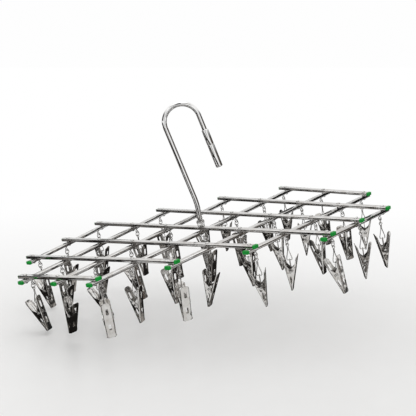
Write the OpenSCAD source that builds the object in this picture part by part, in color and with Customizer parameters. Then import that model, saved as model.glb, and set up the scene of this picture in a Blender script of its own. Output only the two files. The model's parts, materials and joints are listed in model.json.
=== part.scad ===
// Clip drying hanger: a hook that carries a folding scissor lattice of
// flat steel tubes, with a chain-hung steel clip beside every crossing.
// The origin is the seat of the hook, the highest point inside its arch,
// and +Z is up. +X runs along the long side of the open lattice.

/* [Lattice] */
// Distance between crossings along a bar
pitch = 80; // [70:1:90]
// Angle between a bar and the long side when the lattice is open
open_angle = 45; // [40:1:50]
// How far the crossing at one step along both bars hangs below the middle
sag = 1.45; // [0:0.05:1.6]
// Width of a bar
bar_w = 9.5; // [8:0.5:10]
// Height of a bar
bar_h = 5; // [4.5:0.5:6]
// Wall of a bar
bar_wall = 0.8; // [0.6:0.1:1]
// Gap between the upper and the lower bars at a crossing
layer_gap = 1.4; // [1.2:0.1:2]
// Distance from the last crossing of a bar to the face of its end plug
overhang = 13; // [12:0.5:15]
// Visible length of the plug at the end of a bar that faces the front
plug_face = 4.5; // [3:0.5:5]
// Visible length of the plug at the other end
plug_lip = 1; // [0.8:0.1:2]
// Distance along a lower bar from its end crossings to the eyes beside them
end_eye_shift = 11; // [9:0.5:14]
// Distance along a lower bar from its other crossings to the eyes beside them
eye_shift = 8; // [7:0.5:12]

/* [Hook] */
// Height from the middle of the lattice to the seat of the hook
hang_drop = 202; // [190:1:215]
// Outer diameter of the hook's tube
hook_d = 8; // [7:0.5:9]
// Radius of the arch at the middle of the tube
arch_r = 28; // [25:0.5:32]
// Angle of the two straight legs from the vertical
leg_lean = 12; // [10:0.5:14]
// Radius of the bend above the stem
bend_r = 110; // [80:5:130]
// Diameter of the sleeve and the cap on the free leg
sleeve_d = 11.5; // [10:0.5:12]
// Length of the sleeve on the free leg
sleeve_len = 25; // [20:1:30]
// Length of the cap that ends the free leg
cap_len = 39; // [30:1:42]

/* [Clips] */
// Length of a jaw
jaw_len = 58; // [54:1:60]
// Length of a jaw below the pin
bite_len = 29.3; // [28:0.1:31]
// Width of the wider jaw of a clip
jaw_w = 15.4; // [14:0.1:16]
// Thickness of the jaw sheet
jaw_t = 0.8; // [0.6:0.1:1]
// Angle of a closed clip's jaw from the clip's middle
jaw_angle = 12; // [10:0.5:13]
// Distance from the underside of a bar to the pin of its clip
chain_drop = 56; // [54:1:60]
// Diameter of the ring wire
wire = 1.3; // [1:0.1:1.4]

/* [Hidden] */
$fn = 48;
steps = [-3:3];
layer = layer_gap / 2;
bar_mid = layer + bar_h / 2;
bar_far = layer + bar_h;
rivet_r = 1.6;
run_fit = 0.06;
hook_r = hook_d / 2;
pin_height = 14;
arch_z = hook_r - arch_r;
bend_z = arch_z - arch_r / sin(leg_lean);
bend_tangent = bend_r * tan(leg_lean / 2);
foot_z = pin_height - hang_drop;
sleeve_start = 25;
eye_drop = 6;
jaw_out = jaw_t + (bite_len * sin(jaw_angle) + 0.1) / cos(jaw_angle);
clip_pin_r = 1.2;
tab_up = 5.2;
// The crossing whose clip is built as separate moving pieces
lone_u = 2;
lone_l = 3;
// Turn of each clip about the vertical: one row per upper bar
clip_yaw = [
    [45, 60, 35, 6, 45, 45, 45],
    [55, 45, 60, 60, 14, 45, 45],
    [50, 45, 50, 45, 60, 76, 45],
    [62, 50, 40, 44, 58, 70, 50],
    [45, 50, 60, 40, 70, 55, 86],
    [45, 45, 70, 55, 76, 24, 90],
    [45, 45, 45, 62, 30, 74, 45]
];
// Lean of each clip about its own pin direction: one row per upper bar
clip_lean = [
    [0, -21, 15, 2, 0, 0, 0],
    [-15, 12, -21, -4, 3, 0, 0],
    [12, 14, -18, -8, 13, -6, 0],
    [5, -3, -10, 4, -6, 4, -17],
    [0, 5, -6, 5, -4, -6, 3],
    [0, 0, 6, -5, 5, -7, 0],
    [0, 0, 0, 5, -8, 4, 0]
];

// The first and last crossing of a bar, as steps from the middle bar
function first_step(k) = k == -3 ? -2 : max(-3, k - 3);
function last_step(k) = -first_step(-k);
function pitch_angle(k) = atan(sag * k / pitch);
function crossing(u, l) = [
    (u + l) * pitch * cos(open_angle),
    (u - l) * pitch * sin(open_angle),
    -hang_drop - sag * u * l
];

// Where a clip hangs: on the lower bar, a little beside the crossing
function eye_along(u, l) =
    u == first_step(l) ? end_eye_shift :
    u == last_step(l) ? -end_eye_shift :
    u < 0 ? -eye_shift : eye_shift;
function hang_point(u, l) =
    crossing(u, l) + eye_along(u, l) * [cos(open_angle), sin(open_angle), -sag * l / pitch];

// Visible length of a bar's plug: front is the side that has the long one
function plug_len(side, front) = side == front ? plug_face : plug_lip;

module place_bar(u, l, turn, tilt, height) {
    translate(crossing(u, l) + [0, 0, height])
        rotate([0, 0, turn])
            rotate([0, tilt, 0])
                children();
}

module round_box_2d(w, h, r) {
    square([w - 2 * r, h], center = true);
    square([w, h - 2 * r], center = true);
    for (x = [-1, 1], y = [-1, 1])
        translate([x * (w / 2 - r), y * (h / 2 - r)]) circle(r = r);
}

module along_x(from, to) {
    translate([from, 0, 0])
        rotate([90, 0, 90])
            linear_extrude(to - from)
                children();
}

module bar_tube(k, front) {
    start = first_step(k) * pitch - overhang + plug_len(-1, front);
    end = last_step(k) * pitch + overhang - plug_len(1, front);
    along_x(start, end)
        difference() {
            round_box_2d(bar_w, bar_h, 1.3);
            round_box_2d(bar_w - 2 * bar_wall, bar_h - 2 * bar_wall, 0.6);
        }
}

module bar_plugs(k, front) {
    inside_w = bar_w - 2 * bar_wall;
    inside_h = bar_h - 2 * bar_wall;
    for (side = [-1, 1]) {
        last = side > 0 ? last_step(k) : first_step(k);
        tube_end = last * pitch + side * (overhang - plug_len(side, front));
        face = last * pitch + side * overhang;
        along_x(min(tube_end, face), max(tube_end, face))
            round_box_2d(bar_w + 0.8, bar_h + 0.8, 1.4);
        along_x(min(tube_end, tube_end - side * 4), max(tube_end, tube_end - side * 4))
            round_box_2d(inside_w, inside_h, 0.6);
    }
}

module upper_bar(u) {
    color("silver")
        difference() {
            place_bar(u, 0, -open_angle, pitch_angle(u), bar_mid) bar_tube(u, 1);
            for (l = [first_step(u):last_step(u)])
                translate(crossing(u, l) + [0, 0, -5])
                    cylinder(r = rivet_r + run_fit, h = 20);
        }
}

module lower_bar(l) {
    color("silver")
        difference() {
            place_bar(0, l, open_angle, pitch_angle(l), -bar_mid) bar_tube(l, -1);
            for (u = [first_step(l):last_step(l)]) {
                translate(crossing(u, l) + [0, 0, -15])
                    cylinder(r = rivet_r, h = 20);
                translate(hang_point(u, l) + [0, 0, -bar_far - 2])
                    cylinder(r = rivet_r, h = 2 + bar_wall + 0.6);
            }
        }
}

module upper_plugs(u) {
    color("forestgreen")
        place_bar(u, 0, -open_angle, pitch_angle(u), bar_mid) bar_plugs(u, 1);
}

module lower_plugs(l) {
    color("forestgreen")
        place_bar(0, l, open_angle, pitch_angle(l), -bar_mid) bar_plugs(l, -1);
}

// A rivet: domed head, shank, spacer between the bars and a collar below
module rivet(extra) {
    head_z = bar_far + 0.4 + extra;
    translate([0, 0, -bar_far - 1.2]) cylinder(r = rivet_r, h = head_z + bar_far + 1.4);
    translate([0, 0, head_z]) cylinder(r = 3, h = 0.7);
    translate([0, 0, head_z + 0.7]) cylinder(r1 = 3, r2 = 1.9, h = 0.7);
    translate([0, 0, -0.3]) cylinder(r = 3.2, h = 0.6);
    translate([0, 0, -bar_far - 1.3]) cylinder(r = 2.8, h = 0.9);
}

// An eye on its collar, with a short shank in the lower wall of a lower bar.
// Its hole runs along the bar.
module bar_eye(tilt) {
    translate([0, 0, -bar_far - 2]) cylinder(r = rivet_r, h = 2 + bar_wall + 0.5);
    translate([0, 0, -bar_far - 1.3]) cylinder(r = 2.8, h = 0.9);
    translate([0, 0, -bar_far - eye_drop])
        rotate([0, 0, open_angle])
            rotate([0, 90 + tilt, 0])
                difference() {
                    translate([0, 0, -0.7]) {
                        cylinder(r = 3.3, h = 1.4);
                        translate([-5, -2.2, 0]) cube([5, 4.4, 1.4]);
                    }
                    cylinder(r = 2.1, h = 6, center = true);
                }
}

module rivets(l) {
    color("gainsboro")
        for (u = [first_step(l):last_step(l)]) {
            translate(crossing(u, l)) rivet(u == 0 && l == 0 ? 1.5 : 0);
            translate(hang_point(u, l)) bar_eye(pitch_angle(l));
        }
}

// Places its children at the pin of the clip beside a crossing
module at_clip(u, l) {
    translate(hang_point(u, l) - [0, 0, bar_far + chain_drop])
        rotate([0, 0, clip_yaw[u + 3][l + 3]])
            children();
}

module lean_clip(u, l) {
    translate([0, 0, tab_up])
        rotate([clip_lean[u + 3][l + 3], 0, 0])
            translate([0, 0, -tab_up])
                children();
}

module wire_ring(r) {
    rotate_extrude() translate([r, 0]) circle(d = wire, $fn = 24);
}

// Outline of the bottle-shaped link, in the plane of its wire, from its
// top at zero downwards
module link_outline(grow) {
    translate([0, -2.1]) circle(r = 2.1 + grow);
    translate([-0.75 - grow, -11]) square([1.5 + 2 * grow, 9]);
    polygon([
        [-0.75 - grow, -10.5],
        [0.75 + grow, -10.5],
        [3.9 + grow, -22.5],
        [3.9 + grow, -24.5],
        [-3.9 - grow, -24.5],
        [-3.9 - grow, -22.5]
    ]);
    translate([-3.2, -26.3 - grow]) square([6.4, 3]);
    for (side = [-1, 1])
        translate([side * 2.9, -25.3]) circle(r = 1 + grow);
}

module flat_link() {
    rotate([90, 0, 90])
        linear_extrude(wire, center = true)
            difference() {
                link_outline(wire / 2);
                difference() {
                    link_outline(-wire / 2);
                    translate([-3, -11]) square([6, 7.2]);
                }
            }
}

module oval_loop(height) {
    reach = height / 2 - 1.9;
    rotate([90, 0, 0])
        linear_extrude(1.1, center = true)
            difference() {
                oval_2d(reach, 1.9 + 0.55);
                oval_2d(reach, 1.9 - 0.55);
            }
}

module oval_2d(reach, r) {
    square([2 * r, 2 * reach], center = true);
    for (side = [-1, 1]) translate([0, side * reach]) circle(r = r);
}

// Ring, bottle-shaped link and small loop between a rivet's eye and a clip
module clip_chain(yaw) {
    ring_z = chain_drop - eye_drop - 3.9;
    link_top = ring_z - 3.9 + 1.6;
    loop_top = link_top - 26.3 + 1.5;
    translate([0, 0, ring_z])
        rotate([0, 0, (open_angle - yaw) / 2])
            rotate([90, 0, 0])
                wire_ring(3.9);
    translate([0, 0, link_top]) flat_link();
    translate([0, 0, (loop_top + tab_up) / 2]) oval_loop(loop_top - tab_up);
}

module clip_links(l) {
    color("gainsboro")
        for (u = [first_step(l):last_step(l)])
            if (!(u == lone_u && l == lone_l))
                at_clip(u, l) clip_chain(clip_yaw[u + 3][l + 3]);
}

module jaw_plate_2d(w) {
    top = jaw_len - bite_len;
    difference() {
        union() {
            translate([-w / 2, -bite_len + 2]) square([w, jaw_len - 2 - 5]);
            translate([-w / 2 + 2, -bite_len]) square([w - 4, 4]);
            for (side = [-1, 1]) {
                translate([side * (w / 2 - 2), -bite_len + 2]) circle(r = 2);
                translate([side * (w / 2 - 5), top - 5]) circle(r = 5);
            }
            translate([-w / 2 + 5, top - 5]) square([w - 10, 5]);
        }
        translate([-2.1, 9.5]) square([4.2, 10]);
        translate([-2.1, -17]) square([4.2, 10]);
    }
}

// Side outline of a jaw's flange: across the jaw first, then along it
module jaw_flange_2d() {
    top = jaw_len - bite_len;
    inner = jaw_out - 2.4;
    difference() {
        union() {
            polygon([
                [jaw_out, -bite_len + 1],
                [jaw_out - 0.4, -bite_len + 0.6],
                [jaw_out - 1.9, -bite_len + 8],
                [inner, -bite_len + 9],
                [inner, -10],
                [-1, -2.8],
                [-1, 2.8],
                [inner, 11],
                [inner + 0.6, top - 4],
                [jaw_out, top - 2]
            ]);
            circle(r = 3);
        }
        circle(r = clip_pin_r + run_fit);
    }
}

// A pressed sheet jaw: face, two side flanges and ears on the pin
module jaw(w) {
    rotate([-jaw_angle, 0, 0]) {
        translate([0, jaw_out, 0])
            rotate([90, 0, 0])
                linear_extrude(jaw_t) jaw_plate_2d(w);
        for (side = [-1, 1])
            translate([side * (w - jaw_t) / 2 - jaw_t / 2, 0, 0])
                rotate([90, 0, 90])
                    linear_extrude(jaw_t) jaw_flange_2d();
    }
}

module front_jaw() {
    jaw(jaw_w);
}

module back_jaw() {
    rotate([0, 0, 180]) jaw(jaw_w - 2 * jaw_t - 0.6);
}

// Pin with the spring coiled on it and the tab that takes the loop
module clip_core() {
    pin_len = jaw_w + 1.6;
    rotate([0, 90, 0]) cylinder(r = clip_pin_r, h = pin_len, center = true);
    for (side = [-1, 1])
        translate([side * (pin_len / 2 - 0.3), 0, 0])
            rotate([0, 90, 0])
                cylinder(r = 1.9, h = 0.6, center = true);
    rotate([0, 90, 0]) cylinder(r = 2.5, h = 9, center = true);
    difference() {
        union() {
            translate([-0.6, -2.4, 0]) cube([1.2, 4.8, tab_up]);
            translate([0, 0, tab_up])
                rotate([0, 90, 0])
                    cylinder(r = 2.4, h = 1.2, center = true);
        }
        translate([0, 0, tab_up])
            rotate([0, 90, 0])
                cylinder(r = 1.3, h = 4, center = true);
    }
}

module clips(l) {
    color("gainsboro")
        for (u = [first_step(l):last_step(l)])
            if (!(u == lone_u && l == lone_l))
                at_clip(u, l)
                    lean_clip(u, l) {
                        front_jaw();
                        back_jaw();
                        clip_core();
                    }
}

module lone_clip_chain() {
    color("gainsboro")
        at_clip(lone_u, lone_l) clip_chain(clip_yaw[lone_u + 3][lone_l + 3]);
}

module lone_clip_core() {
    color("dimgray") at_clip(lone_u, lone_l) clip_core();
}

module lone_clip_front_jaw() {
    color("gainsboro") at_clip(lone_u, lone_l) front_jaw();
}

module lone_clip_back_jaw() {
    color("gainsboro") at_clip(lone_u, lone_l) back_jaw();
}

module tube_2d() {
    difference() {
        circle(r = hook_r);
        circle(r = hook_r - 1.2);
    }
}

module straight_tube(len) {
    linear_extrude(len) tube_2d();
}

// Turns its children so that their Z runs up a leg of the hook
module along_leg() {
    rotate([0, -leg_lean, 0]) children();
}

module hook_tube() {
    stem_top = bend_z - bend_tangent;
    leg_low = arch_r / tan(leg_lean) - bend_tangent;
    free_len = sleeve_start + sleeve_len + cap_len - 4;
    color("silver") {
        difference() {
            union() {
                translate([0, 0, foot_z]) straight_tube(stem_top - foot_z);
                translate([0, 0, foot_z])
                    rotate([0, 90, 0])
                        cylinder(r = hook_r, h = hook_d - 1, center = true);
            }
            translate([0, 0, foot_z])
                rotate([0, 90, 0])
                    cylinder(r = 1.5 + run_fit, h = 20, center = true);
        }
        translate([-bend_r, 0, stem_top])
            rotate([90, 0, 0])
                rotate_extrude(angle = leg_lean, $fn = 96)
                    translate([bend_r, 0]) tube_2d();
        translate([0, 0, arch_z])
            along_leg() {
                translate([-arch_r, 0, -leg_low]) straight_tube(leg_low);
                rotate([90, 0, 0])
                    rotate_extrude(angle = 180, $fn = 96)
                        translate([arch_r, 0]) tube_2d();
                translate([arch_r, 0, -free_len]) straight_tube(free_len);
            }
    }
}

module on_free_leg() {
    translate([0, 0, arch_z])
        along_leg()
            translate([arch_r, 0, 0])
                children();
}

module hook_end_sleeve() {
    color("gainsboro")
        on_free_leg()
            translate([0, 0, -sleeve_start - sleeve_len])
                difference() {
                    union() {
                        cylinder(d = sleeve_d, h = sleeve_len - 1);
                        translate([0, 0, sleeve_len - 1])
                            cylinder(d1 = sleeve_d, d2 = sleeve_d - 1.6, h = 1);
                    }
                    translate([0, 0, -1]) cylinder(r = hook_r, h = sleeve_len + 2);
                }
}

module hook_end_cap() {
    low = -sleeve_start - sleeve_len - cap_len;
    color("gainsboro")
        on_free_leg()
            translate([0, 0, low])
                difference() {
                    union() {
                        cylinder(d1 = sleeve_d - 1.6, d2 = sleeve_d, h = 1);
                        translate([0, 0, 1]) cylinder(d = sleeve_d, h = cap_len - 2);
                    }
                    translate([0, 0, 4]) cylinder(r = hook_r, h = cap_len);
                    translate([0, 0, -1]) cylinder(r = 2.6, h = 3);
                }
}

// Folded sheet bracket: base on the top bar, two ears beside the stem
module hook_bracket() {
    base_z = bar_far + 0.4;
    ear_x = hook_r + 0.3;
    color("silver")
        translate([0, 0, -hang_drop])
            difference() {
                union() {
                    translate([-ear_x - 1.2, -6, base_z]) cube([2 * ear_x + 2.4, 12, 1.2]);
                    for (side = [-1, 1])
                        translate([side * (ear_x + 0.6) - 0.6, 0, 0]) {
                            translate([0, -6, base_z]) cube([1.2, 12, pin_height - base_z]);
                            translate([0, 0, pin_height])
                                rotate([0, 90, 0])
                                    cylinder(r = 6, h = 1.2);
                        }
                }
                translate([0, 0, base_z - 1]) cylinder(r = rivet_r + run_fit, h = 4);
                translate([0, 0, pin_height])
                    rotate([0, 90, 0])
                        cylinder(r = 1.5, h = 30, center = true);
            }
}

module hook_pin() {
    reach = hook_r + 1.5;
    color("gainsboro")
        translate([0, 0, foot_z])
            rotate([0, 90, 0]) {
                cylinder(r = 1.5, h = 2 * reach, center = true);
                for (side = [-1, 1])
                    translate([0, 0, side * (reach + 0.5)])
                        cylinder(r = 2.8, h = 1, center = true);
            }
}

hook_tube();
hook_end_sleeve();
hook_end_cap();
hook_bracket();
hook_pin();
for (k = steps) {
    upper_bar(k);
    lower_bar(k);
    upper_plugs(k);
    lower_plugs(k);
    rivets(k);
    clip_links(k);
    clips(k);
}
lone_clip_chain();
lone_clip_core();
lone_clip_front_jaw();
lone_clip_back_jaw();
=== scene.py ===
"""Looks of the clip drying hanger: smooth meshes, procedural materials, studio and camera.

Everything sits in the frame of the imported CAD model. Shapes are made in millimetres and
placed with matrices that are worked out from the joints of the record.
"""

import json
import math

import bmesh
import bpy
from mathutils import Matrix, Vector

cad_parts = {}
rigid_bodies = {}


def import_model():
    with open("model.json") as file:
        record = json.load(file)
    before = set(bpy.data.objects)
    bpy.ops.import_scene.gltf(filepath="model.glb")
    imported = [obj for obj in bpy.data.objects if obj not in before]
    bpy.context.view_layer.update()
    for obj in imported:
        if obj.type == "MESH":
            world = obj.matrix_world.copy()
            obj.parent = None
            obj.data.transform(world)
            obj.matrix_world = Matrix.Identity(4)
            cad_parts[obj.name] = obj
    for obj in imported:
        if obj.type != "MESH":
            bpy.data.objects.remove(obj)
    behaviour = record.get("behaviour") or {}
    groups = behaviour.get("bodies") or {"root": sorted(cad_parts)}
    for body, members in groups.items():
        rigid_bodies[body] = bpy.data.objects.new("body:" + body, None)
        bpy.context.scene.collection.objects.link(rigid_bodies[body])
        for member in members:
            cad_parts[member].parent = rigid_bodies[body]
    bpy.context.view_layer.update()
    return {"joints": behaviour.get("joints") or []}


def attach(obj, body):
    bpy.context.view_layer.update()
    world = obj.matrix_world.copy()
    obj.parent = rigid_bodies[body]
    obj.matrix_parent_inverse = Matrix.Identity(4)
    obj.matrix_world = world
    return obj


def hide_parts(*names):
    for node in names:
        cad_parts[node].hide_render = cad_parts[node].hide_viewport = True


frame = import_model()

MM = 0.001
STEPS = range(-3, 4)
UP = Vector((0, 0, 1))

# Places from the record's joints, in millimetres
JOINTS = {j["name"]: j for j in frame["joints"]}


def joint_place(name):
    """Where the record puts a joint, in millimetres."""
    return Vector(JOINTS[name].get("pos_m", (0, 0, 0))) / MM


MIDDLE = joint_place("lattice_fold")
STEP_U = joint_place("upper_bar_5_fold") - MIDDLE
STEP_L = joint_place("lower_bar_5_fold") - MIDDLE
PITCH = STEP_U.length
# The eyes of the last row lie on a sloping line, which gives the sag of the lattice
ROW_LINE = joint_place("lone_clip_swing") - joint_place("clip_row_7_swing")
SAG = -ROW_LINE.z / 3 * PITCH / ROW_LINE.xy.length
PIN_HEIGHT = joint_place("hook_fold").z - MIDDLE.z

# Sizes of the real parts, in millimetres, as in the CAD source
BAR_W, BAR_H = 9.5, 5.0
LAYER = 0.7
BAR_MID = LAYER + BAR_H / 2
BAR_FAR = LAYER + BAR_H
OVERHANG, PLUG_FACE, PLUG_LIP = 13.0, 4.5, 1.0
END_EYE_SHIFT, EYE_SHIFT = 11.0, 8.0
EYE_DROP = 6.0
HOOK_R, ARCH_R, BEND_R = 4.0, 28.0, 110.0
LEG_LEAN = math.radians(12)
SLEEVE_START, SLEEVE_LEN, CAP_LEN, SLEEVE_R = 25.0, 25.0, 39.0, 5.75
JAW_LEN, BITE_LEN, JAW_W, JAW_T = 58.0, 29.3, 15.4, 0.8
JAW_ANGLE = math.radians(12)
JAW_OUT = JAW_T + (BITE_LEN * math.sin(JAW_ANGLE) + 0.1) / math.cos(JAW_ANGLE)
TAB_UP = 5.2
# Rivets, eyes and their collars
RIVET_HEAD_R, SPACER_R, COLLAR_R = 3.0, 3.2, 2.8
CENTRE_RIVET_RISE = 1.5
EYE_R, EYE_WIRE = 2.7, 0.62
# The bracket's ears and the pin through them
EAR_R, BRACKET_T = 6.0, 1.2
CROSS_PIN_R, CROSS_PIN_HEAD_R = 1.5, 2.8
# Pins and springs of the clips
CLIP_PIN_R, CLIP_PIN_HEAD_R = 1.2, 1.9
COIL_TURNS, COIL_R, COIL_WIRE, COIL_HALF = 7, 2.0, 0.5, 4.2
TAB_EYE_R, TAB_EYE_WIRE = 1.85, 0.52
# The pressed shape of a jaw: its corners, the ears at its pin, and the slots in its face
BITE_CORNER_R, HANDLE_CORNER_R, JAW_EAR_R = 2.0, 5.0, 3.0
JAW_BEND_R, JAW_CROWN = 1.3, 0.35
JAW_SLOTS = [(-17.0, -7.0), (9.5, 19.5)]
SLOT_HALF_W, SLOT_CORNER = 2.1, 0.45
# The chain of a clip: ring, bottle-shaped link and small loop
RING_R, RING_WIRE = 3.9, 0.65
LOOP_WIRE, LOOP_R = 0.55, 1.9
LINK_LEN, LINK_HEAD_R, LINK_NECK_X, LINK_FOOT_X = 26.3, 2.1, 0.75, 3.9
# The clip that is made of parts that move by themselves: its upper and its lower bar
LONE = (2, 3)

# Turn and lean of each clip, one row per upper bar, as in the CAD source
CLIP_YAW = [
    [45, 60, 35, 6, 45, 45, 45],
    [55, 45, 60, 60, 14, 45, 45],
    [50, 45, 50, 45, 60, 76, 45],
    [62, 50, 40, 44, 58, 70, 50],
    [45, 50, 60, 40, 70, 55, 86],
    [45, 45, 70, 55, 76, 24, 90],
    [45, 45, 45, 62, 30, 74, 45],
]
CLIP_LEAN = [
    [0, -21, 15, 2, 0, 0, 0],
    [-15, 12, -21, -4, 3, 0, 0],
    [12, 14, -18, -8, 13, -6, 0],
    [5, -3, -10, 4, -6, 4, -17],
    [0, 5, -6, 5, -4, -6, 3],
    [0, 0, 6, -5, 5, -7, 0],
    [0, 0, 0, 5, -8, 4, 0],
]


def first_step(k):
    """The first crossing on bar k: bars and crossings are counted from the middle."""
    return -2 if k == -3 else max(-3, k - 3)


def last_step(k):
    return -first_step(-k)


def crossing(u, l):
    """Where upper bar u crosses lower bar l."""
    return MIDDLE + STEP_U * u + STEP_L * l - UP * SAG * u * l


def hang_point(u, l):
    """Where a clip hangs: on the lower bar, a little beside the crossing."""
    if u == first_step(l):
        along = END_EYE_SHIFT
    elif u == last_step(l):
        along = -END_EYE_SHIFT
    else:
        along = -EYE_SHIFT if u < 0 else EYE_SHIFT
    return crossing(u, l) + (STEP_U - UP * SAG * l) * along / PITCH


CHAIN_DROP = hang_point(*LONE).z - BAR_FAR - joint_place("lone_front_jaw_open").z


def turn(degrees, axis):
    return Matrix.Rotation(math.radians(degrees), 4, axis)


def shift(x=0.0, y=0.0, z=0.0):
    return Matrix.Translation((x, y, z))


# ---------------------------------------------------------------- mesh tools


class Shape:
    """Points in millimetres and the faces between them."""

    def __init__(self):
        self.points = []
        self.faces = []

    def add(self, other, place=Matrix.Identity(4)):
        start = len(self.points)
        self.points += [place @ p for p in other.points]
        self.faces += [[start + i for i in f] for f in other.faces]
        return self

    def loft(self, rings, closed=False):
        """Skins equal rings of points; closed joins the last ring to the first."""
        start, n = len(self.points), len(rings[0])
        for ring in rings:
            self.points += [Vector(p) for p in ring]
        count = len(rings)
        for i in range(count if closed else count - 1):
            a, b = start + i * n, start + (i + 1) % count * n
            for j in range(n):
                k = (j + 1) % n
                self.faces.append([a + j, a + k, b + k, b + j])
        if not closed:
            self.faces.append([start + j for j in range(n)][::-1])
            self.faces.append([start + (count - 1) * n + j for j in range(n)])
        return self


def sweep(path, radius, sides=10, closed=False):
    """A round wire or tube along a path."""
    path = [Vector(p) for p in path]
    n = len(path)
    rings = []
    side = None
    for i, p in enumerate(path):
        before = path[(i - 1) % n] if closed or i else p
        after = path[(i + 1) % n] if closed or i < n - 1 else p
        along = (after - before).normalized()
        if side is None:
            side = along.orthogonal()
        side = (side - along * side.dot(along)).normalized()
        other = along.cross(side)
        ring = []
        for k in range(sides):
            a = 2 * math.pi * k / sides
            ring.append(p + (side * math.cos(a) + other * math.sin(a)) * radius)
        rings.append(ring)
    return Shape().loft(rings, closed=closed)


def lathe(profile, sides=36):
    """A solid turned about Z from (radius, height) points, from low to high."""
    rings = []
    for r, z in profile:
        angles = [2 * math.pi * k / sides for k in range(sides)]
        rings.append([(r * math.cos(a), r * math.sin(a), z) for a in angles])
    return Shape().loft(rings)


def pin_along_z(upper_half, sides):
    """A pin with the same head at both ends, from the profile of its upper half."""
    return lathe([(r, -z) for r, z in reversed(upper_half)] + upper_half, sides)


def arc(cx, cy, r, start, end, count):
    angles = [start + (end - start) * i / count for i in range(count + 1)]
    return [(cx + r * math.cos(a), cy + r * math.sin(a)) for a in angles]


def round_box(w, h, r, count=5):
    """Outline of a box with round corners."""
    points = []
    quarter = math.pi / 2
    corners = [(1, 1), (-1, 1), (-1, -1), (1, -1)]
    for i, (sx, sy) in enumerate(corners):
        points += arc(sx * (w / 2 - r), sy * (h / 2 - r), r, i * quarter, (i + 1) * quarter, count)
    return points


def along_x(sections):
    """A prism along X through (x, outline in Y and Z) sections."""
    return Shape().loft([[(x, y, z) for y, z in outline] for x, outline in sections])


def round_corners(points, radii, count=6):
    """A closed outline with its corners rounded."""
    out = []
    n = len(points)
    for i in range(n):
        p = Vector(points[i])
        a, b = Vector(points[i - 1]) - p, Vector(points[(i + 1) % n]) - p
        half = a.angle(b) / 2
        cut = radii[i] / math.tan(half)
        start, end = p + a.normalized() * cut, p + b.normalized() * cut
        centre = p + (a.normalized() + b.normalized()).normalized() * radii[i] / math.sin(half)
        for k in range(count + 1):
            chord = start.lerp(end, k / count)
            out.append(centre + (chord - centre).normalized() * radii[i])
    return out


def make_piece(name, shape, finish, body, nodes, sharp=35):
    """Turns a shape into an object that rides on a body and stands for CAD nodes."""
    material, slot_name = finish
    mesh = bpy.data.meshes.new(name)
    mesh.from_pydata([p * MM for p in shape.points], [], shape.faces)
    bm = bmesh.new()
    bm.from_mesh(mesh)
    bmesh.ops.recalc_face_normals(bm, faces=bm.faces)
    bm.to_mesh(mesh)
    bm.free()
    mesh.shade_smooth()
    mesh.set_sharp_from_angle(angle=math.radians(sharp))
    mesh.materials.append(material)
    piece = bpy.data.objects.new(name, mesh)
    bpy.context.scene.collection.objects.link(piece)
    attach(piece, body)
    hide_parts(*nodes)


# ----------------------------------------------------------------- materials


class Surface:
    """A node material with the few node kinds that this scene uses."""

    def __init__(self, name):
        self.material = bpy.data.materials.new(name)
        self.material.use_nodes = True
        self.tree = self.material.node_tree
        self.shader = self.tree.nodes["Principled BSDF"]
        self.coords = self.tree.nodes.new("ShaderNodeTexCoord").outputs["Object"]

    def node(self, kind, inputs=(), **settings):
        node = self.tree.nodes.new(kind)
        for key, value in settings.items():
            setattr(node, key, value)
        for key, value in dict(inputs).items():
            if isinstance(value, bpy.types.NodeSocket):
                self.tree.links.new(value, node.inputs[key])
            else:
                node.inputs[key].default_value = value
        return node

    def noise(self, scale, detail=3.0, stretch=None, turned=0.0, roughness=0.5):
        place = self.coords
        if stretch:
            angle = (0, 0, math.radians(turned))
            spin = self.node("ShaderNodeMapping", {"Vector": place, "Rotation": angle}).outputs[0]
            place = self.node("ShaderNodeMapping", {"Vector": spin, "Scale": stretch}).outputs[0]
        return self.node(
            "ShaderNodeTexNoise",
            {"Vector": place, "Scale": scale, "Detail": detail, "Roughness": roughness},
        ).outputs["Fac"]

    def spread(self, value, low, high, start=0.3, end=0.7):
        return self.node(
            "ShaderNodeMapRange",
            {"Value": value, "From Min": start, "From Max": end, "To Min": low, "To Max": high},
        ).outputs["Result"]

    def blend(self, factor, first, second):
        mix = self.node("ShaderNodeMix", data_type="RGBA")
        self.tree.links.new(factor, mix.inputs["Factor"])
        for socket, value in (("A", first), ("B", second)):
            target = [s for s in mix.inputs if s.name == socket and s.type == "RGBA"][0]
            if isinstance(value, bpy.types.NodeSocket):
                self.tree.links.new(value, target)
            else:
                target.default_value = (*value, 1)
        return [s for s in mix.outputs if s.type == "RGBA"][0]

    def bump(self, height, distance, strength=1.0, under=None):
        inputs = {"Height": height, "Distance": distance, "Strength": strength}
        if under is not None:
            inputs["Normal"] = under
        return self.node("ShaderNodeBump", inputs).outputs["Normal"]

    def shown(self, shader):
        """Sends a shader to the output instead of the plain one."""
        self.tree.links.new(shader, self.tree.nodes["Material Output"].inputs["Surface"])
        return self.material

    def set(self, **values):
        for key, value in values.items():
            socket = self.shader.inputs[key.replace("_", " ")]
            if isinstance(value, bpy.types.NodeSocket):
                self.tree.links.new(value, socket)
            else:
                socket.default_value = value
        return self.material


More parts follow.
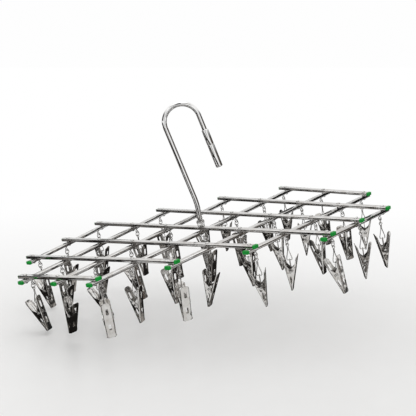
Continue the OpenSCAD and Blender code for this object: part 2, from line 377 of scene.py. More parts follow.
def steel(name, light, dark, rough, grain=None, turned=0.0, wave=0.0002, wave_scale=60):
    """Bright steel: streaks along the grain, small stains and a slight wave."""
    s = Surface(name)
    stretch = grain or (900, 900, 900)
    streaks = s.noise(1.0, 4, stretch=stretch, turned=turned)
    stains = s.noise(95, 5, roughness=0.65)
    colour = s.blend(s.spread(stains, 0, 1, 0.42, 0.72), light, dark)
    shade = s.blend(s.spread(streaks, 0, 0.35), colour, [c * 0.72 for c in light])
    low, high = rough
    uneven = s.node(
        "ShaderNodeMath",
        {0: s.spread(streaks, low, high), 1: s.spread(stains, 0, high * 0.5, 0.5, 0.8)},
        operation="ADD",
    ).outputs[0]
    fine = s.bump(streaks, 0.000006, 0.5)
    waves = s.bump(s.noise(wave_scale, 1), wave, 0.5, under=fine)
    return s.set(Base_Color=shade, Metallic=1.0, Roughness=uneven, Normal=waves)


def plastic(name, light, dark):
    """Moulded plastic: fine grain and a slightly uneven colour and gloss."""
    s = Surface(name)
    patches = s.noise(260, 4)
    grain = s.noise(2600, 2)
    colour = s.blend(s.spread(patches, 0, 1), light, dark)
    return s.set(
        Base_Color=colour,
        Roughness=s.spread(grain, 0.22, 0.4),
        IOR=1.45,
        Specular_IOR_Level=0.28,
        Normal=s.bump(grain, 0.00002, 0.5),
    )


ALONG_BAR = (14, 2600, 2600)
BAR_LIGHT, BAR_DARK = (0.66, 0.655, 0.65), (0.46, 0.43, 0.4)
UPPER_STEEL = steel("upper_bar_steel", BAR_LIGHT, BAR_DARK, (0.05, 0.13), ALONG_BAR, 45)
LOWER_STEEL = steel("lower_bar_steel", BAR_LIGHT, BAR_DARK, (0.05, 0.13), ALONG_BAR, -45)
HOOK_LIGHT, HOOK_DARK, ALONG_HOOK = (0.92, 0.92, 0.92), (0.84, 0.83, 0.82), (400, 400, 30)
HOOK_STEEL = steel("hook_steel", HOOK_LIGHT, HOOK_DARK, (0.015, 0.035), ALONG_HOOK, wave=0.00001)
FITTING_STEEL = steel("fitting_steel", (0.74, 0.74, 0.73), (0.52, 0.5, 0.48), (0.1, 0.2))
JAW_LIGHT, JAW_DARK = (0.8, 0.79, 0.775), (0.58, 0.55, 0.51)
JAW_STEEL = steel("jaw_steel", JAW_LIGHT, JAW_DARK, (0.06, 0.14), wave=0.0012, wave_scale=110)
WIRE_STEEL = steel("wire_steel", (0.72, 0.71, 0.7), (0.46, 0.44, 0.41), (0.1, 0.2))
SPRING_STEEL = steel("spring_steel", (0.24, 0.23, 0.22), (0.12, 0.115, 0.11), (0.2, 0.34))
GREEN = plastic("green_plastic", (0.003, 0.31, 0.035), (0.002, 0.2, 0.025))

# Each finish is a material and the record's slot that it belongs to
HOOK_FINISH = (HOOK_STEEL, "hook_steel")
FITTING_FINISH = (FITTING_STEEL, "fitting_steel")
EYE_FINISH = (WIRE_STEEL, "fitting_steel")
BAR_FINISHES = {"upper": (UPPER_STEEL, "bar_steel"), "lower": (LOWER_STEEL, "bar_steel")}
PLUG_FINISH = (GREEN, "green_plastic")
JAW_FINISH = (JAW_STEEL, "clip_steel")
CLIP_PIN_FINISH = (FITTING_STEEL, "clip_steel")
SPRING_FINISH = (SPRING_STEEL, "clip_steel")
CHAIN_FINISH = (WIRE_STEEL, "clip_steel")

# ---------------------------------------------------------------------- hook


def hook_path():
    """Middle line of the hook's tube, in X and Z, from its foot to the cap."""
    lean, tangent = LEG_LEAN, BEND_R * math.tan(LEG_LEAN / 2)
    arch_z = HOOK_R - ARCH_R
    stem_top = arch_z - ARCH_R / math.sin(lean) - tangent
    across = Vector((math.cos(lean), 0, math.sin(lean)))
    upward = Vector((-math.sin(lean), 0, math.cos(lean)))
    middle = Vector((0, 0, arch_z))
    foot = MIDDLE.z + PIN_HEIGHT
    path = [Vector((0, 0, foot + (stem_top - foot) * i / 4)) for i in range(4)]
    for i in range(13):
        a = lean * i / 12
        path.append(Vector((BEND_R * (math.cos(a) - 1), 0, stem_top + BEND_R * math.sin(a))))
    path += [path[-1].lerp(middle - across * ARCH_R, i / 8) for i in range(1, 8)]
    for i in range(49):
        a = math.pi - math.pi * i / 48
        path.append(middle + (across * math.cos(a) + upward * math.sin(a)) * ARCH_R)
    free = SLEEVE_START + SLEEVE_LEN
    path += [path[-1] - upward * free * i / 4 for i in range(1, 5)]
    return path


def leg_place():
    """From a frame with Z up the free leg, with its zero at the end of the arch."""
    return shift(z=HOOK_R - ARCH_R) @ Matrix.Rotation(-LEG_LEAN, 4, "Y") @ shift(x=ARCH_R)


def folded_sheet(path, half_width, thickness, columns=8):
    """A strip in X and Z along a path, half_width(x, z) wide to each side in Y."""
    shape = Shape()
    rings = []
    n = len(path)
    for i, (x, z) in enumerate(path):
        (x0, z0), (x1, z1) = path[max(i - 1, 0)], path[min(i + 1, n - 1)]
        along = Vector((x1 - x0, z1 - z0)).normalized()
        out = Vector((along.y, -along.x)) * thickness / 2
        wide = half_width(x, z)
        ys = [wide * (2 * k / columns - 1) for k in range(columns + 1)]
        ring = [(x + out.x, y, z + out.y) for y in ys]
        ring += [(x - out.x, y, z - out.y) for y in reversed(ys)]
        rings.append(ring)
    return shape.loft(rings)


def pin_place():
    """From a frame with Z along the pin of the bracket to the CAD frame."""
    return shift(z=MIDDLE.z + PIN_HEIGHT) @ turn(90, "Y")


def build_hook_tube():
    """The bent tube of the hook, with a cross piece round the pin at its foot."""
    tube = sweep(hook_path(), HOOK_R, 40)
    foot_end = [(HOOK_R - 0.5, -3.5), (HOOK_R, -3.0), (HOOK_R, 3.0), (HOOK_R - 0.5, 3.5)]
    tube.add(lathe(foot_end, 40), pin_place())
    make_piece("hook_swan_neck_tube", tube, HOOK_FINISH, "hook", ["hook_tube"])


def build_sleeve():
    """The wider sleeve round the end of the tube, up to the cap."""
    low = -SLEEVE_START - SLEEVE_LEN
    sleeve = lathe(
        [
            (HOOK_R, low + 0.02),
            (SLEEVE_R - 0.45, low + 0.02),
            (SLEEVE_R - 0.1, low + 0.25),
            (SLEEVE_R, low + 0.7),
            (SLEEVE_R, -SLEEVE_START - 1.3),
            (SLEEVE_R - 0.15, -SLEEVE_START - 0.8),
            (SLEEVE_R - 0.8, -SLEEVE_START),
            (HOOK_R, -SLEEVE_START),
        ],
        48,
    )
    sleeve = Shape().add(sleeve, leg_place())
    make_piece("hook_sleeve", sleeve, HOOK_FINISH, "hook", ["hook_end_sleeve"])


def build_cap():
    """The cap on the end of the hook, with a round recess in its end."""
    low = -SLEEVE_START - SLEEVE_LEN
    end = low - CAP_LEN
    cap = lathe(
        [
            (0.4, end + 3),
            (2.6, end + 3),
            (2.6, end + 0.3),
            (2.8, end),
            (SLEEVE_R - 1.3, end),
            (SLEEVE_R - 0.5, end + 0.35),
            (SLEEVE_R - 0.1, end + 1.0),
            (SLEEVE_R, end + 1.8),
            (SLEEVE_R, low - 0.9),
            (SLEEVE_R - 0.1, low - 0.45),
            (SLEEVE_R - 0.5, low - 0.15),
            (HOOK_R, low - 0.15),
        ],
        48,
    )
    cap = Shape().add(cap, leg_place())
    make_piece("hook_end_cap_shell", cap, HOOK_FINISH, "hook", ["hook_end_cap"])


def build_cross_pin():
    """The pin that the bracket turns on, with a head outside each ear."""
    reach = HOOK_R + 1.5
    half = [
        (CROSS_PIN_R, reach),
        (CROSS_PIN_HEAD_R, reach + 0.1),
        (CROSS_PIN_HEAD_R, reach + 0.7),
        (CROSS_PIN_HEAD_R - 0.5, reach + 1.0),
    ]
    pin = Shape().add(pin_along_z(half, 28), pin_place())
    make_piece("hook_cross_pin", pin, FITTING_FINISH, "hook", ["hook_pin"])


def build_bracket():
    """A strip of sheet folded up at both sides, with the pin through its ears."""
    wall, base = HOOK_R + 0.9, BAR_FAR + 1.0
    bend = 1.4
    rises = [math.sin(math.pi / 2 * i / 8) for i in range(8, -1, -1)]
    right = [(wall, PIN_HEIGHT + EAR_R * rise) for rise in rises]
    right += arc(wall - bend, base + bend, bend, 0, -math.pi / 2, 5)
    strip = right + [(-x, z) for x, z in reversed(right)]

    def ear_width(x, z):
        rise = max(z - PIN_HEIGHT, 0)
        return max(math.sqrt(max(EAR_R**2 - rise * rise, 0)), 0.5)

    bracket = Shape().add(folded_sheet(strip, ear_width, BRACKET_T), shift(z=MIDDLE.z))
    make_piece("hook_folded_bracket", bracket, FITTING_FINISH, "bracket", ["hook_bracket"])


# ------------------------------------------------------------------- lattice


def bar_place(k, upper):
    """From a frame with X along bar k, at its middle height, to the CAD frame."""
    tilt = math.atan(SAG * k / PITCH)
    start = crossing(k, 0) if upper else crossing(0, k)
    height = BAR_MID if upper else -BAR_MID
    heading = STEP_L if upper else STEP_U
    angle = math.atan2(heading.y, heading.x)
    spin = Matrix.Rotation(angle, 4, "Z") @ Matrix.Rotation(tilt, 4, "Y")
    return Matrix.Translation(start + UP * height) @ spin


def plug_length(side, front):
    """The plug at the front end of a bar is long, the other one only a lip."""
    return PLUG_FACE if side == front else PLUG_LIP


def bar_shape(k, front):
    """The tube of a bar, between its two plugs."""
    low = first_step(k) * PITCH - OVERHANG + plug_length(-1, front)
    high = last_step(k) * PITCH + OVERHANG - plug_length(1, front)
    full, inset = round_box(BAR_W, BAR_H, 1.3), round_box(BAR_W - 0.3, BAR_H - 0.3, 1.2)
    return along_x([(low, inset), (low + 0.15, full), (high - 0.15, full), (high, inset)])


def plug_shape(k, front):
    """Two end plugs: a lip beside the tube and a crowned face."""
    wide, high = BAR_W + 0.8, BAR_H + 0.8
    # How far out along the bar each outline lies, and how far in from the widest one
    lip = [(0.02, 0.3), (0.25, 0.0), (1.0, 0.0), (1.25, 0.12)]
    steps = lip + [(3.4, 0.12), (4.0, 0.35), (4.35, 0.8), (4.5, 1.5)]
    lip_steps = [(0.02, 0.6), (0.15, 0.44), (0.6, 0.44), (0.85, 0.6), (1.0, 0.9)]
    shape = Shape()
    for side in (-1, 1):
        last = last_step(k) if side > 0 else first_step(k)
        length = plug_length(side, front)
        tube_end = last * PITCH + side * (OVERHANG - length)
        sections = []
        for out, inset in steps if side == front else lip_steps:
            radius = max(1.4 - inset * 0.5, 0.4)
            outline = round_box(wide - 2 * inset, high - 2 * inset, radius)
            sections.append((tube_end + side * out, outline))
        shape.add(along_x(sections))
    return shape


def collar_profile():
    """The collar under a lower bar, from below its middle to the bar."""
    low = -BAR_FAR
    return [(COLLAR_R, low - 1.1), (COLLAR_R, low - 0.3), (COLLAR_R - 0.3, low + 0.02)]


def rivet_shape(extra):
    """Domed head, spacer between the bars, and the collar under the lower bar."""
    seat = BAR_FAR + 0.15 + extra
    rim = RIVET_HEAD_R
    head = [(rim - 0.1, seat), (rim, seat + 0.25), (rim - 0.05, seat + 0.6)]
    for i in range(1, 7):
        a = math.pi / 2 * i / 6
        head.append((max(2.85 * math.cos(a), 0.15), seat + 0.7 + 0.85 * math.sin(a)))
    shape = lathe(head, 32)
    inner = SPACER_R - 0.3
    shape.add(lathe([(inner, -0.62), (SPACER_R, -0.4), (SPACER_R, 0.4), (inner, 0.62)], 28))
    foot = [(1.4, -BAR_FAR - 2.2), (2.1, -BAR_FAR - 1.5)]
    return shape.add(lathe(foot + collar_profile(), 28))


def eye_shape():
    """A wire eye across the lower bar, with its short neck in the collar."""
    heading = math.atan2(STEP_U.y, STEP_U.x)
    place = shift(z=-BAR_FAR - EYE_DROP) @ Matrix.Rotation(heading, 4, "Z")
    circle = [(0, y, z) for y, z in arc(0, 0, EYE_R, 0, 2 * math.pi, 28)[:-1]]
    shape = Shape().add(sweep(circle, EYE_WIRE, 10, closed=True), place)
    low = -BAR_FAR
    neck = [(0.75, low - EYE_DROP + 2.5), (0.8, low - 2.0), (2.1, low - 1.4)]
    return shape.add(lathe(neck + collar_profile(), 24))


def build_lattice():
    """Bars and plugs, and the rivets and eyes of each lower bar as two pieces."""
    for k in STEPS:
        n = k + 4
        for side, front in (("upper", 1), ("lower", -1)):
            bar = f"{side}_bar_{n}"
            place = bar_place(k, side == "upper")
            tube = Shape().add(bar_shape(k, front), place)
            make_piece(bar + "_tube", tube, BAR_FINISHES[side], bar + "_body", [bar], 60)
            plugs = Shape().add(plug_shape(k, front), place)
            nodes = [f"{side}_plugs_{n}"]
            make_piece(bar + "_end_plugs", plugs, PLUG_FINISH, bar + "_body", nodes, 50)
        rivets, eyes = Shape(), Shape()
        for u in range(first_step(k), last_step(k) + 1):
            place = Matrix.Translation(crossing(u, k))
            rivets.add(rivet_shape(CENTRE_RIVET_RISE if u == k == 0 else 0), place)
            eyes.add(eye_shape(), Matrix.Translation(hang_point(u, k)))
        body = f"lower_bar_{n}_body"
        make_piece(f"rivet_heads_{n}", rivets, FITTING_FINISH, body, [f"rivets_{n}"])
        make_piece(f"rivet_eyes_{n}", eyes, EYE_FINISH, body, [f"rivets_{n}"])


# --------------------------------------------------------------------- clips


def clip_place(u, l):
    """From an upright clip's frame, with its zero at the pin, to the CAD frame."""
    drop = UP * (BAR_FAR + CHAIN_DROP)
    return Matrix.Translation(hang_point(u, l) - drop) @ turn(CLIP_YAW[u + 3][l + 3], "Z")


def lean_place(u, l):
    """The same for what leans: a clip leans about the eye that it hangs from."""
    lean = turn(CLIP_LEAN[u + 3][l + 3], "X")
    return clip_place(u, l) @ shift(z=TAB_UP) @ lean @ shift(z=-TAB_UP)


def flange_edge(z):
    """How far in the free edge of a jaw's flange lies, at a height along the jaw."""
    top, inner = JAW_LEN - BITE_LEN, JAW_OUT - 2.4
    line = [
        (-BITE_LEN, JAW_OUT - 0.4),
        (-BITE_LEN + 8, JAW_OUT - 1.9),
        (-BITE_LEN + 9, inner),
        (-10, inner),
        (-2.8, -1.0),
        (2.8, -1.0),
        (11, inner),
        (top - 4, inner + 0.6),
        (top - 2, JAW_OUT - JAW_T),
        (top, JAW_OUT - JAW_T),
    ]
    for (z0, y0), (z1, y1) in zip(line, line[1:]):
        if z <= z1:
            edge = y0 + (y1 - y0) * (z - z0) / (z1 - z0)
            break
    else:
        edge = line[-1][1]
    if abs(z) < JAW_EAR_R:
        edge = min(edge, -math.sqrt(JAW_EAR_R**2 - z * z))
    return edge


def jaw_rows():
    """Heights of the rows of a jaw's mesh: close together where its outline curves."""
    top = JAW_LEN - BITE_LEN
    rows = [-BITE_LEN + BITE_CORNER_R * (1 - math.cos(math.pi / 2 * i / 5)) for i in range(6)]
    rows += [-25.5, -23.4, -BITE_LEN + 8, -BITE_LEN + 9, -18.6]
    rows += [-17, -16.2, -14.2, -12, -10, -7.8, -7, -5.6, -4.2]
    rows += [-3, -2.6, -2, -1.1, 0, 1.1, 2, 2.6, 3, 4.4, 6, 7.6]
    rows += [9.5, 10.3, 12.4, 15, 17, 18.7, 19.5, 21.2, 22.6]
    rows += [top - HANDLE_CORNER_R * (1 - math.sin(math.pi / 2 * i / 7)) for i in range(8)]
    return rows


def corner_cut(beyond, radius):
    """How much a round corner has taken off, at a distance beyond its start."""
    return radius - math.sqrt(max(radius**2 - beyond**2, 0))


def jaw_shape(width):
    """A pressed jaw in its own frame: X across, Y outwards, Z towards the handle."""
    top = JAW_LEN - BITE_LEN
    rows = jaw_rows()
    sections = []
    for z in rows:
        half = width / 2
        if z < -BITE_LEN + BITE_CORNER_R:
            half -= corner_cut(-BITE_LEN + BITE_CORNER_R - z, BITE_CORNER_R)
        if z > top - HANDLE_CORNER_R:
            half -= corner_cut(z - top + HANDLE_CORNER_R, HANDLE_CORNER_R)
        deep = max(JAW_OUT - flange_edge(z), JAW_T + 0.03)
        bend = min(JAW_BEND_R, deep * 0.85, half * 0.4)
        inner_bend = min(0.5, max(deep - JAW_T - 0.01, 0.01))
        crown = JAW_CROWN * min(1, (z + BITE_LEN) / 6, (top - z) / 3 + 0.2)
        slot_x = min(SLOT_HALF_W, (half - bend) * 0.5)
        flat = [slot_x, slot_x * 0.62, 0, -slot_x * 0.62, -slot_x]

        def profile(side_x, r, face_y, edge_y):
            left = [(-side_x, edge_y), (-side_x, (edge_y + face_y - r) / 2), (-side_x, face_y - r)]
            left += arc(-side_x + r, face_y - r, r, math.pi, math.pi / 2, 4)[1:]
            left += [(-(side_x - r + slot_x) / 2, face_y)]
            points = left + [(-x, face_y) for x in flat]
            points += [(-x, y) for x, y in reversed(left)]
            return [(x, y - crown * (x / (width / 2)) ** 2, z) for x, y in points]

        outer = profile(half, bend, JAW_OUT, JAW_OUT - deep)
        inner = profile(half - JAW_T, inner_bend, JAW_OUT - JAW_T, JAW_OUT - deep)
        sections.append((outer, inner))

    shape = Shape()
    columns = len(sections[0][0])
    for outer, inner in sections:
        shape.points += [Vector(p) for p in outer] + [Vector(p) for p in inner]

    def at(i, j, inside):
        return i * 2 * columns + (columns if inside else 0) + j

    def edge(a, b):
        """A face across the thickness of the sheet, between two corners of the mesh."""
        shape.faces.append([at(*a, False), at(*b, False), at(*b, True), at(*a, True)])

    # The slots leave out the four columns in the middle of the face
    first = columns // 2 - 2
    cut = set()
    for i in range(len(rows) - 1):
        if any(low - 0.01 <= rows[i] and rows[i + 1] <= high + 0.01 for low, high in JAW_SLOTS):
            cut |= {(i, j) for j in range(first, first + 4)}
    for low, high in JAW_SLOTS:
        for z, inward in ((low, 1), (high, -1)):
            i = rows.index(z)
            for j, side in ((first, 1), (first + 4, -1)):
                for inside in (False, True):
                    move = Vector((side * SLOT_CORNER, 0, inward * SLOT_CORNER))
                    shape.points[at(i, j, inside)] += move
    for i in range(len(rows) - 1):
        for j in range(columns - 1):
            if (i, j) in cut:
                for (di, dj), (a, b) in {
                    (-1, 0): ((i, j), (i, j + 1)),
                    (1, 0): ((i + 1, j), (i + 1, j + 1)),
                    (0, -1): ((i, j), (i + 1, j)),
                    (0, 1): ((i, j + 1), (i + 1, j + 1)),
                }.items():
                    if (i + di, j + dj) not in cut:
                        edge(a, b)
                continue
            corners = [(i, j), (i, j + 1), (i + 1, j + 1), (i + 1, j)]
            for inside in (False, True):
                quad = [at(*corner, inside) for corner in corners]
                shape.faces.append(quad[::-1] if inside else quad)
    for i in range(len(rows) - 1):
        for j in (0, columns - 1):
            edge((i, j), (i + 1, j))
    for i in (0, len(rows) - 1):
        for j in range(columns - 1):
            edge((i, j), (i, j + 1))
    return shape


JAW_TILT = Matrix.Rotation(-JAW_ANGLE, 4, "X")
FRONT_JAW = Shape().add(jaw_shape(JAW_W), JAW_TILT)
BACK_JAW = Shape().add(jaw_shape(JAW_W - 2 * JAW_T - 0.6), turn(180, "Z") @ JAW_TILT)


def pin_shape():
    """The pin through both jaws of a clip."""
    half = JAW_W / 2 + 0.8
    upper_half = [
        (CLIP_PIN_R, half - 0.6),
        (CLIP_PIN_HEAD_R, half - 0.55),
        (CLIP_PIN_HEAD_R, half - 0.2),
        (CLIP_PIN_R + 0.1, half + 0.05),
    ]
    return Shape().add(pin_along_z(upper_half, 20), turn(90, "Y"))


def spring_shape():
    """A coil round the pin with a leg up each handle, and the wire eye for the loop."""
    leg = [(COIL_HALF, 5.4, 9.2), (COIL_HALF, 4.0, 6.0)]
    path = list(leg)
    per_turn = 18
    count = COIL_TURNS * per_turn
    for i in range(count + 1):
        a = math.radians(-20) - 2 * math.pi * i / per_turn
        x = COIL_HALF - 2 * COIL_HALF * i / count
        path.append((x, COIL_R * math.cos(a), COIL_R * math.sin(a)))
    path += [(-x, -y, z) for x, y, z in reversed(leg)]
    shape = sweep(path, COIL_WIRE, 8)
    bow = arc(0, TAB_UP, TAB_EYE_R, math.radians(-60), math.radians(240), 22)
    stem = [(0.8, 2.2)] + bow + [(-0.8, 2.2)]
    return shape.add(sweep([(0, y, z) for y, z in stem], TAB_EYE_WIRE, 8))


def ring_shape(yaw):
    """The ring in the eye under a bar, turned half way between the bar and the clip."""
    height = CHAIN_DROP - EYE_DROP - RING_R
    heading = math.degrees(math.atan2(STEP_U.y, STEP_U.x))
    circle = [(x, 0, z) for x, z in arc(0, 0, RING_R, 0, 2 * math.pi, 32)[:-1]]
    ring = sweep(circle, RING_WIRE, 10, closed=True)
    return Shape().add(ring, shift(z=height) @ turn((heading - yaw) / 2, "Z"))


def link_top():
    """Height of the top of the bottle-shaped link above the pin of its clip."""
    return CHAIN_DROP - EYE_DROP - 2 * RING_R + 1.6


def link_shape():
    """The bottle-shaped wire link: round top, narrow neck, wide foot."""
    head = arc(0, -LINK_HEAD_R, LINK_HEAD_R, math.radians(-52), math.radians(232), 18)
    right = [(LINK_NECK_X, -4.9), (LINK_NECK_X, -11), (LINK_FOOT_X, -22.5), (LINK_FOOT_X, -LINK_LEN)]
    left = [(-x, z) for x, z in right]
    radii = [1.2, 4.0, 4.0, 1.2]
    count = 5
    corners = [head[-1]] + left + right[::-1] + [head[0]]
    outline = round_corners(corners, [0.01] + radii + radii[::-1] + [0.01], count)
    # Without the points at the two ends of the head, which are there already
    outline = [tuple(p) for p in outline[count + 1 : -count - 1]]
    path = [(0, y, z) for y, z in head + outline]
    return Shape().add(sweep(path, RING_WIRE, 10, closed=True), shift(z=link_top()))


def loop_shape():
    """The small loop between a bottle-shaped link and the eye of a clip."""
    top = link_top() - LINK_LEN + 1.5
    middle, reach = (top + TAB_UP) / 2, (top - TAB_UP) / 2 - LOOP_R
    path = arc(0, middle + reach, LOOP_R, 0, math.pi, 12)
    path += arc(0, middle - reach, LOOP_R, math.pi, 2 * math.pi, 12)
    return sweep([(x, 0, z) for x, z in path], LOOP_WIRE, 10, closed=True)


# The pieces of a row of clips: the finish of each, and the CAD nodes that it stands for
ROW_PIECES = {
    "jaws": (JAW_FINISH, "clips"),
    "pins": (CLIP_PIN_FINISH, "clips"),
    "springs": (SPRING_FINISH, "clips"),
    "rings": (CHAIN_FINISH, "clip_links"),
    "bottle_links": (CHAIN_FINISH, "clip_links"),
    "small_loops": (CHAIN_FINISH, "clip_links"),
}


def build_clips():
    """Seven rows of clips, and the lone clip from parts that move by themselves."""
    pin, spring, link, loop = pin_shape(), spring_shape(), link_shape(), loop_shape()
    for l in STEPS:
        row = {key: Shape() for key in ROW_PIECES}
        for u in range(first_step(l), last_step(l) + 1):
            if (u, l) == LONE:
                continue
            place, leaning = clip_place(u, l), lean_place(u, l)
            row["jaws"].add(FRONT_JAW, leaning).add(BACK_JAW, leaning)
            row["pins"].add(pin, leaning)
            row["springs"].add(spring, leaning)
            row["rings"].add(ring_shape(CLIP_YAW[u + 3][l + 3]), place)
            row["bottle_links"].add(link, place)
            row["small_loops"].add(loop, place)
        n = l + 4
        for key, (finish, family) in ROW_PIECES.items():
            make_piece(f"row_{n}_{key}", row[key], finish, f"clip_row_{n}", [f"{family}_{n}"])

    # The lone clip hangs straight
    place = clip_place(*LONE)
    yaw = CLIP_YAW[LONE[0] + 3][LONE[1] + 3]
    parts = [
        ("lone_ring", ring_shape(yaw), CHAIN_FINISH, "lone_chain", "lone_clip_chain"),
        ("lone_bottle_link", link, CHAIN_FINISH, "lone_chain", "lone_clip_chain"),
        ("lone_small_loop", loop, CHAIN_FINISH, "lone_chain", "lone_clip_chain"),
        ("lone_pin", pin, CLIP_PIN_FINISH, "lone_core", "lone_clip_core"),
        ("lone_spring", spring, SPRING_FINISH, "lone_core", "lone_clip_core"),
        ("lone_front_jaw_sheet", FRONT_JAW, JAW_FINISH, "lone_front_jaw", "lone_clip_front_jaw"),
        ("lone_back_jaw_sheet", BACK_JAW, JAW_FINISH, "lone_back_jaw", "lone_clip_back_jaw"),
    ]
    for name, shape, finish, body, node in parts:
        make_piece(name, Shape().add(shape, place), finish, body, [node])


# -------------------------------------------------------------------- studio

# The view, fitted to the hanger as it hangs: the hanger tilts, the camera is level
VIEW = Vector((0.04729, 0.97321, -0.22502)).normalized()
VIEW_UP = Vector((0.18730, 0.21264, 0.95901)).normalized()
CAMERA_OFFSET = Vector((-0.0506, -1.3710, 0.3505))
LENS = 75.8
LOOK_DOWN = math.radians(13)
# In metres: the floor's distance under the hanger, its half width, and the cards' height on it
FLOOR_GAP, FLOOR_HALF, CARD_HEIGHT = 0.004, 6.0, 0.002
# Straight up in the room, in the frame of the tilted hanger
ROOM_UP = (VIEW_UP * math.cos(LOOK_DOWN) - VIEW * math.sin(LOOK_DOWN)).normalized()
ROOM_RIGHT = VIEW.cross(VIEW_UP).normalized()
ROOM_AHEAD = ROOM_UP.cross(ROOM_RIGHT).normalized()


def room_place(origin):
    """From a frame with X right, Y ahead and Z up in the room to the CAD frame."""
    turned = Matrix((ROOM_RIGHT, ROOM_AHEAD, ROOM_UP)).transposed().to_4x4()
    return Matrix.Translation(origin) @ turned


def add_camera():
    """The camera, which isn't rolled in the room: the hanger tilts before it."""
    data = bpy.data.cameras.new("camera")
    data.sensor_width = 36
    data.lens = LENS
    data.clip_start, data.clip_end = 0.01, 50
    camera = bpy.data.objects.new("camera", data)
    bpy.context.scene.collection.objects.link(camera)
    right = VIEW.cross(VIEW_UP).normalized()
    true_up = right.cross(VIEW)
    turned = Matrix((right, true_up, -VIEW)).transposed().to_4x4()
    camera.matrix_world = Matrix.Translation(MIDDLE * MM + CAMERA_OFFSET) @ turned
    bpy.context.scene.camera = camera


def lowest_point():
    """How low the hanger reaches in the tilted room, in metres along its up."""
    low = 1e9
    for o in bpy.data.objects:
        if o.type == "MESH" and o.name.startswith("row_") and o.name.endswith("jaws"):
            low = min(low, min(v.co.dot(ROOM_UP) for v in o.data.vertices))
    return low


def flat_sheet(name, corners, place):
    """A sheet of the studio, from its four corners."""
    mesh = bpy.data.meshes.new(name)
    mesh.from_pydata(corners, [], [(0, 1, 2, 3)])
    o = bpy.data.objects.new(name, mesh)
    bpy.context.scene.collection.objects.link(o)
    o.matrix_world = place
    return o


def level_corners(left, right, near, ahead, z):
    return [(left, near, z), (right, near, z), (right, ahead, z), (left, ahead, z)]


def add_floor():
    """Grey paper under the hanger that blends into a painted white glow further out."""
    place = room_place(ROOM_UP * (lowest_point() - FLOOR_GAP))
    corners = level_corners(-FLOOR_HALF, FLOOR_HALF, -FLOOR_HALF, FLOOR_HALF, 0)
    floor = flat_sheet("studio_floor", corners, place)
    s = Surface("floor_paper")
    oval = {"Vector": s.coords, "Location": (0.0, 0.45, 0), "Scale": (0.72, 1.0, 1.0)}
    near = s.node("ShaderNodeMapping", oval)
    away = s.node("ShaderNodeVectorMath", {0: near.outputs[0]}, operation="LENGTH").outputs["Value"]
    # Painted light: with distance from the hanger the paper mixes into a white emission, so the far
    # floor glows brighter
    painted_glow_fade = s.node(
        "ShaderNodeMapRange",
        {"Value": away, "From Min": 0.36, "From Max": 1.35},
        interpolation_type="SMOOTHSTEP",
    ).outputs["Result"]
    paper = s.blend(s.noise(30, 3), (0.765, 0.765, 0.765), (0.785, 0.785, 0.785))
    s.set(Base_Color=paper, Roughness=0.32, IOR=1.3)
    glow = s.node("ShaderNodeEmission", {"Color": (1, 1, 1, 1), "Strength": 1.0})
    mix = s.node("ShaderNodeMixShader", {0: painted_glow_fade, 1: s.shader.outputs[0], 2: glow.outputs[0]})
    floor.data.materials.append(s.shown(mix.outputs[0]))
    return place


def seen_in_metal_only(o):
    o.visible_camera = False
    o.visible_diffuse = False
    o.visible_shadow = False
    o.visible_transmission = False


def add_painted_reflection_card(name, place, left, right, near, ahead):
    """A painted reflection: a dark, patchy sheet close above the floor that shows only in the metal,
    and from above only.
    """
    card = flat_sheet(name, level_corners(left, right, near, ahead, CARD_HEIGHT), place)
    s = Surface(name + "_paint")
    # Painted reflection: dark patches that glow their own colour, for the metal to mirror
    patches = s.spread(s.noise(5.5, 2), 0, 1, 0.54, 0.62)
    shade = s.blend(patches, (0.012, 0.011, 0.010), (0.36, 0.34, 0.32))
    back = s.node("ShaderNodeNewGeometry").outputs["Backfacing"]
    clear = s.node("ShaderNodeBsdfTransparent")
    dark = s.node("ShaderNodeEmission", {"Color": shade})
    mix = s.node("ShaderNodeMixShader", {0: back, 1: dark.outputs[0], 2: clear.outputs[0]})
    card.data.materials.append(s.shown(mix.outputs[0]))
    seen_in_metal_only(card)


def add_flag(name, place, right, ahead, low, width, height, shade, tip=0.0):
    """A dark flag that stands in the room, faces the hanger and shows only in the metal."""
    half = width / 2
    corners = [(-half, 0, 0), (half, 0, 0), (half, 0, height), (-half, 0, height)]
    spin = Matrix.Rotation(math.atan2(-right, ahead), 4, "Z")
    stand = place @ Matrix.Translation((right, ahead, low)) @ spin @ turn(tip, "X")
    flag = flat_sheet(name, corners, stand)
    s = Surface(name + "_cloth")
    cloth = s.blend(s.noise(40, 3), [c * 0.8 for c in shade], shade)
    glow = s.node("ShaderNodeEmission", {"Color": cloth})
    flag.data.materials.append(s.shown(glow.outputs[0]))
    seen_in_metal_only(flag)


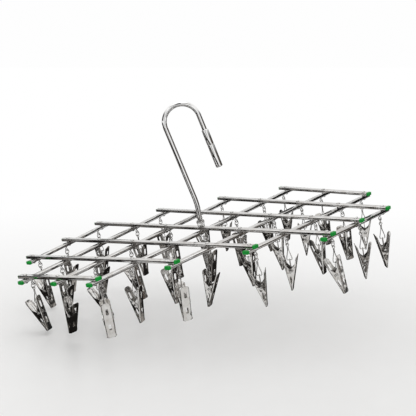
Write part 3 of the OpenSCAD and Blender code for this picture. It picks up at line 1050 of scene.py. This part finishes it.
def add_world():
    """White all round for the camera; darker at both sides for light and metal."""
    world = bpy.data.worlds.new("studio")
    world.use_nodes = True
    bpy.context.scene.world = world
    tree = world.node_tree
    nodes, link = tree.nodes, tree.links.new
    plain = nodes["Background"]
    plain.inputs["Color"].default_value = (1, 1, 1, 1)
    plain.inputs["Strength"].default_value = 0.99
    room = nodes.new("ShaderNodeBackground")
    coords = nodes.new("ShaderNodeTexCoord").outputs["Generated"]

    def part(direction):
        dot = nodes.new("ShaderNodeVectorMath")
        dot.operation = "DOT_PRODUCT"
        link(coords, dot.inputs[0])
        dot.inputs[1].default_value = direction
        return dot.outputs["Value"]

    def math_node(operation, a, b=None):
        node = nodes.new("ShaderNodeMath")
        node.operation = operation
        for i, v in enumerate((a, b)):
            if isinstance(v, bpy.types.NodeSocket):
                link(v, node.inputs[i])
            elif v is not None:
                node.inputs[i].default_value = v
        return node.outputs[0]

    def step(value, start, end, low, high):
        node = nodes.new("ShaderNodeMapRange")
        node.interpolation_type = "SMOOTHSTEP"
        link(value, node.inputs["Value"])
        for key, v in (("From Min", start), ("From Max", end), ("To Min", low), ("To Max", high)):
            node.inputs[key].default_value = v
        return node.outputs["Result"]

    beside = math_node("ABSOLUTE", part(ROOM_RIGHT))
    high = part(ROOM_UP)
    sides = step(beside, 0.6, 0.88, 0.0, 1.0)
    low = step(high, 0.22, 0.55, 1.0, 0.0)
    dark = math_node("MULTIPLY", sides, low)
    bright = math_node("SUBTRACT", 1.0, math_node("MULTIPLY", dark, 0.9))
    link(bright, room.inputs["Strength"])
    room.inputs["Color"].default_value = (1, 0.995, 0.985, 1)
    rays = nodes.new("ShaderNodeLightPath")
    mix = nodes.new("ShaderNodeMixShader")
    link(rays.outputs["Is Camera Ray"], mix.inputs[0])
    link(room.outputs[0], mix.inputs[1])
    link(plain.outputs[0], mix.inputs[2])
    link(mix.outputs[0], nodes["World Output"].inputs["Surface"])


def add_softbox(name, offset, size, energy):
    """A lamp that faces the hanger, offset to the right, ahead and up in the room."""
    data = bpy.data.lights.new(name, "AREA")
    data.shape = "RECTANGLE"
    data.size, data.size_y = size
    data.energy = energy
    lamp = bpy.data.objects.new(name, data)
    bpy.context.scene.collection.objects.link(lamp)
    target = MIDDLE * MM
    right, ahead, up = offset
    place = target + ROOM_RIGHT * right + ROOM_AHEAD * ahead + ROOM_UP * up
    turned = (target - place).to_track_quat("-Z", "Y").to_matrix().to_4x4()
    lamp.matrix_world = Matrix.Translation(place) @ turned


def build_studio():
    """Camera, floor, what the metal reflects, and the lamps."""
    add_camera()
    place = add_floor()
    # Painted reflections: dark cards just above the floor, seen only in the metal
    add_painted_reflection_card("floor_card", place, -2.2, 1.45, -0.2, 0.5)
    add_painted_reflection_card("floor_card_front_left", place, -2.2, -0.34, -0.38, -0.2)
    add_painted_reflection_card("floor_card_front", place, -2.2, 0.8, -1.0, -0.38)
    black = (0.02, 0.02, 0.02)
    add_flag("flag_back_left", place, -1.0, 0.75, 0, 0.8, 0.6, black)
    add_flag("flag_back_right", place, 1.0, 0.75, 0, 0.8, 0.6, black)
    add_flag("flag_beside_camera", place, 0.04, -1.45, 0.05, 0.26, 2.2, black)
    add_flag("flag_front_left", place, -0.5, -1.4, 0, 0.09, 0.9, black)
    add_flag("flag_front_top", place, 0, -1.2, 1.1, 1.6, 0.45, black, 45)
    add_flag("flag_right", place, 1.5, -0.3, 0, 1.2, 0.7, (0.12, 0.1, 0.085))
    add_world()
    add_softbox("overhead_softbox", (-0.2, 0.1, 1.6), (1.4, 1.0), 5.0)
    add_softbox("front_softbox", (-0.5, -1.5, 1.1), (0.8, 0.8), 1.2)
    bpy.context.scene.view_settings.view_transform = "Standard"


build_hook_tube()
build_sleeve()
build_cap()
build_cross_pin()
build_bracket()
build_lattice()
build_clips()
build_studio()
